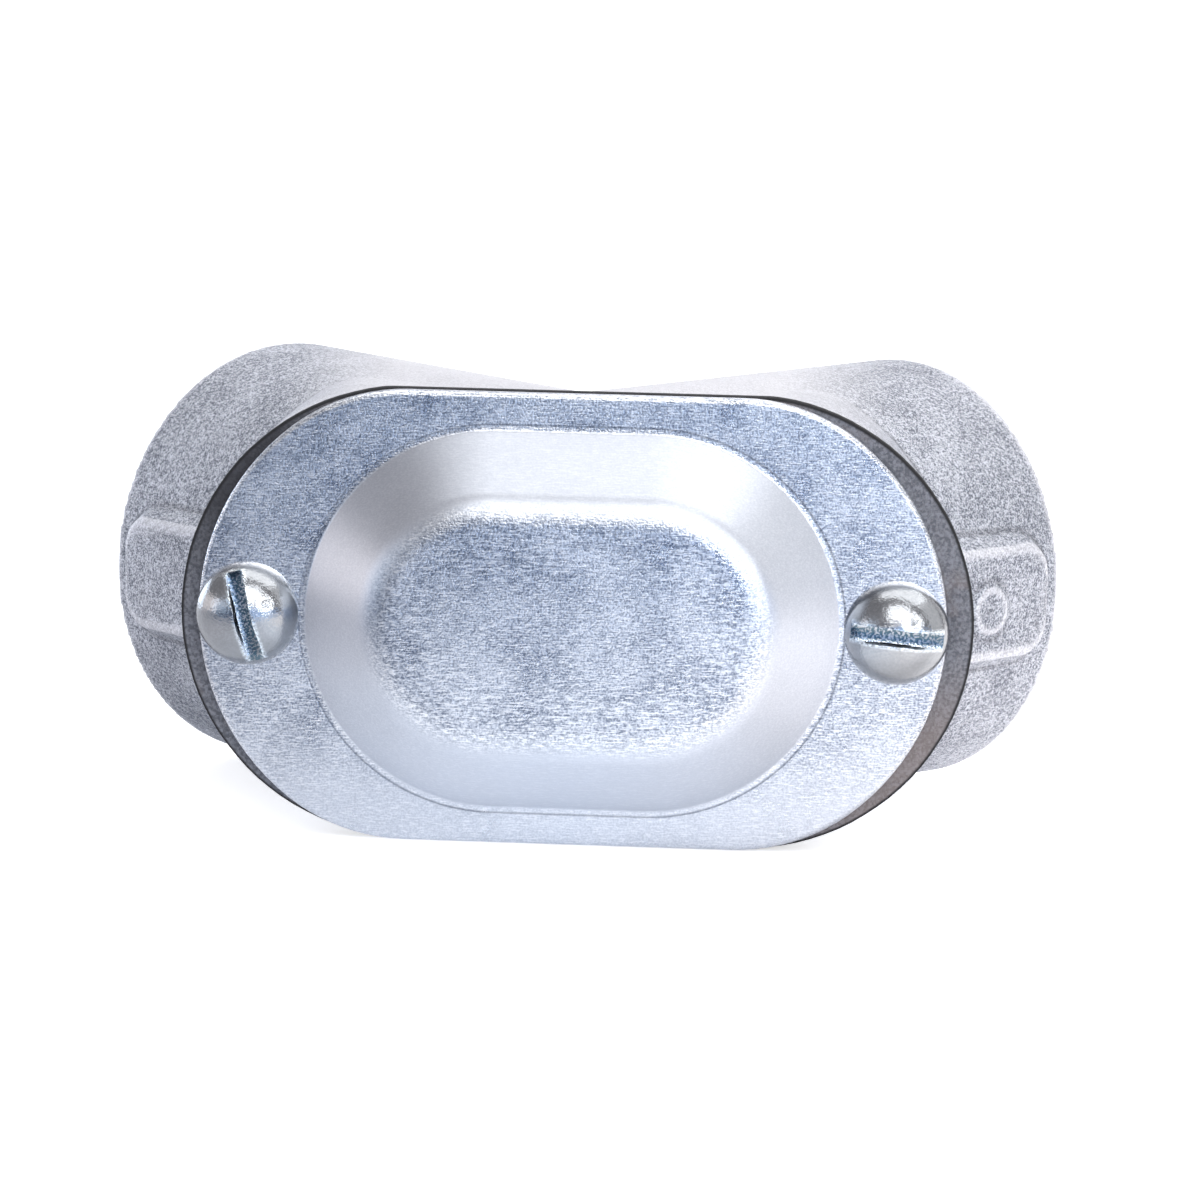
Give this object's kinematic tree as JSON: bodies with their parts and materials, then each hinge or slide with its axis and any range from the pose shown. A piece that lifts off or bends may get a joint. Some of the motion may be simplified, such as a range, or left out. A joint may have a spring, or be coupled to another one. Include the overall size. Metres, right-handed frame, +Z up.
{
  "type": "conduit pull elbow",
  "caption": "Cast right-angle conduit elbow with threaded hubs and a gasketed, screwed-down access cover on the outer corner for pulling wires.",
  "frame": {"origin": "on the surface that the elbow lies on, under the middle of the whole part", "axes": "+Z up; the access cover faces -Y; the hubs run back to -X and +X at 45 degrees, in a level plane"},
  "size_m": [0.0744, 0.049, 0.0338],
  "materials": {
    "cast_metal": "as cast, fine matt grain",
    "gasket": "matt pressed sheet",
    "zinc_cover": "zinc plated, fine mill grain",
    "zinc_screw": "zinc plated, satin"
  },
  "bodies": {
    "elbow": {"elbow_body": "cast_metal", "cover_gasket": "gasket"},
    "cover": {"access_cover": "zinc_cover"},
    "screw_left": {"cover_screw_left": "zinc_screw"},
    "screw_right": {"cover_screw_right": "zinc_screw"}
  },
  "joints": [
    {"name": "cover_lift", "type": "slide", "parent": "elbow", "child": "cover", "axis": [0, -1, 0], "range_m": [0, 0.03]},
    {"name": "screw_left_turn", "type": "hinge", "parent": "cover", "child": "screw_left", "pos_m": [-0.02387, -0.02001, 0.0169], "axis": [0, -1, 0], "continuous": true},
    {"name": "screw_right_turn", "type": "hinge", "parent": "cover", "child": "screw_right", "pos_m": [0.02387, -0.02001, 0.0169], "axis": [0, -1, 0], "continuous": true}
  ]
}
